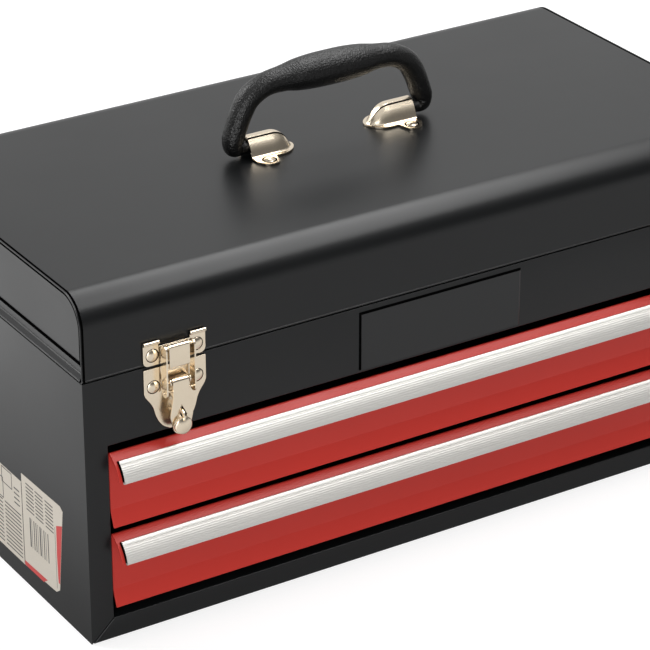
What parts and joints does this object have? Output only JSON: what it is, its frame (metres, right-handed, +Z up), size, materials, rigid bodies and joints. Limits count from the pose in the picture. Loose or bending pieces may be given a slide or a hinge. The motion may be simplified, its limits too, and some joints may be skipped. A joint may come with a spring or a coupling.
{
  "type": "tool_box",
  "caption": "Black steel tool box with a hinged lid, carry handle, two draw latches and two red drawers with aluminium finger pulls",
  "frame": {"origin": "centre of the base's underside", "axes": "+X along the length to the right as seen from the front, -Y out of the front, +Z up"},
  "size_m": [0.511, 0.2835, 0.2943],
  "materials": {
    "black_paint": "black powder coat, fine grain, satin",
    "red_paint": "red enamel, semi-gloss",
    "aluminium_trim": "extruded, fluted, natural",
    "nickel_plate": "nickel plate, bright, faintly warm",
    "zinc_plate": "zinc plate, dull",
    "black_plastic": "moulded, fine grain"
  },
  "bodies": {
    "case": {"case_wrap": "black_paint", "base_pan": "black_paint", "back_panel": "black_paint", "tray_floor": "black_paint", "drawer_channel_upper_left": "zinc_plate", "drawer_channel_upper_right": "zinc_plate", "drawer_channel_lower_left": "zinc_plate", "drawer_channel_lower_right": "zinc_plate", "hinge_leaf_case": "zinc_plate", "hinge_pin": "zinc_plate", "latch_base_left": "nickel_plate", "latch_base_right": "nickel_plate", "lever_pin_left": "nickel_plate", "lever_pin_right": "nickel_plate"},
    "lid": {"lid_shell": "black_paint", "lid_end_left": "black_paint", "lid_end_right": "black_paint", "hinge_leaf_lid": "zinc_plate", "latch_catch_left": "nickel_plate", "latch_catch_right": "nickel_plate", "handle_bracket_left": "nickel_plate", "handle_bracket_right": "nickel_plate"},
    "handle": {"carry_handle": "black_plastic"},
    "upper_drawer": {"drawer_pan_upper": "black_paint", "drawer_front_upper": "red_paint", "drawer_trim_upper": "aluminium_trim", "drawer_rail_upper_left": "zinc_plate", "drawer_rail_upper_right": "zinc_plate"},
    "lower_drawer": {"drawer_pan_lower": "black_paint", "drawer_front_lower": "red_paint", "drawer_trim_lower": "aluminium_trim", "drawer_rail_lower_left": "zinc_plate", "drawer_rail_lower_right": "zinc_plate"},
    "lever_left": {"latch_lever_left": "nickel_plate", "bail_pin_left": "nickel_plate"},
    "bail_left": {"latch_bail_left": "nickel_plate"},
    "lever_right": {"latch_lever_right": "nickel_plate", "bail_pin_right": "nickel_plate"},
    "bail_right": {"latch_bail_right": "nickel_plate"}
  },
  "joints": [
    {"name": "lid_hinge", "type": "hinge", "parent": "case", "child": "lid", "pos_m": [0, 0.1351, 0.18065], "axis": [-1, 0, 0], "range_deg": [0, 100]},
    {"name": "handle_swing", "type": "hinge", "parent": "lid", "child": "handle", "pos_m": [0, 0, 0.241], "axis": [1, 0, 0], "range_deg": [-80, 80]},
    {"name": "upper_drawer_slide", "type": "slide", "parent": "case", "child": "upper_drawer", "axis": [0, -1, 0], "range_m": [0, 0.17]},
    {"name": "lower_drawer_slide", "type": "slide", "parent": "case", "child": "lower_drawer", "axis": [0, -1, 0], "range_m": [0, 0.17]},
    {"name": "lever_hinge_left", "type": "hinge", "parent": "case", "child": "lever_left", "pos_m": [-0.1927, -0.1385, 0.1695], "axis": [-1, 0, 0], "range_deg": [0, 120]},
    {"name": "bail_hinge_left", "type": "hinge", "parent": "lever_left", "child": "bail_left", "pos_m": [-0.1927, -0.1385, 0.1635], "axis": [-1, 0, 0], "range_deg": [-132, 0]},
    {"name": "lever_hinge_right", "type": "hinge", "parent": "case", "child": "lever_right", "pos_m": [0.1927, -0.1385, 0.1695], "axis": [-1, 0, 0], "range_deg": [0, 120]},
    {"name": "bail_hinge_right", "type": "hinge", "parent": "lever_right", "child": "bail_right", "pos_m": [0.1927, -0.1385, 0.1635], "axis": [-1, 0, 0], "range_deg": [-132, 0]}
  ],
  "couplings": [
    {"joint": "bail_hinge_left", "follows": "lever_hinge_left", "ratio": -1.1},
    {"joint": "bail_hinge_right", "follows": "lever_hinge_right", "ratio": -1.1}
  ]
}
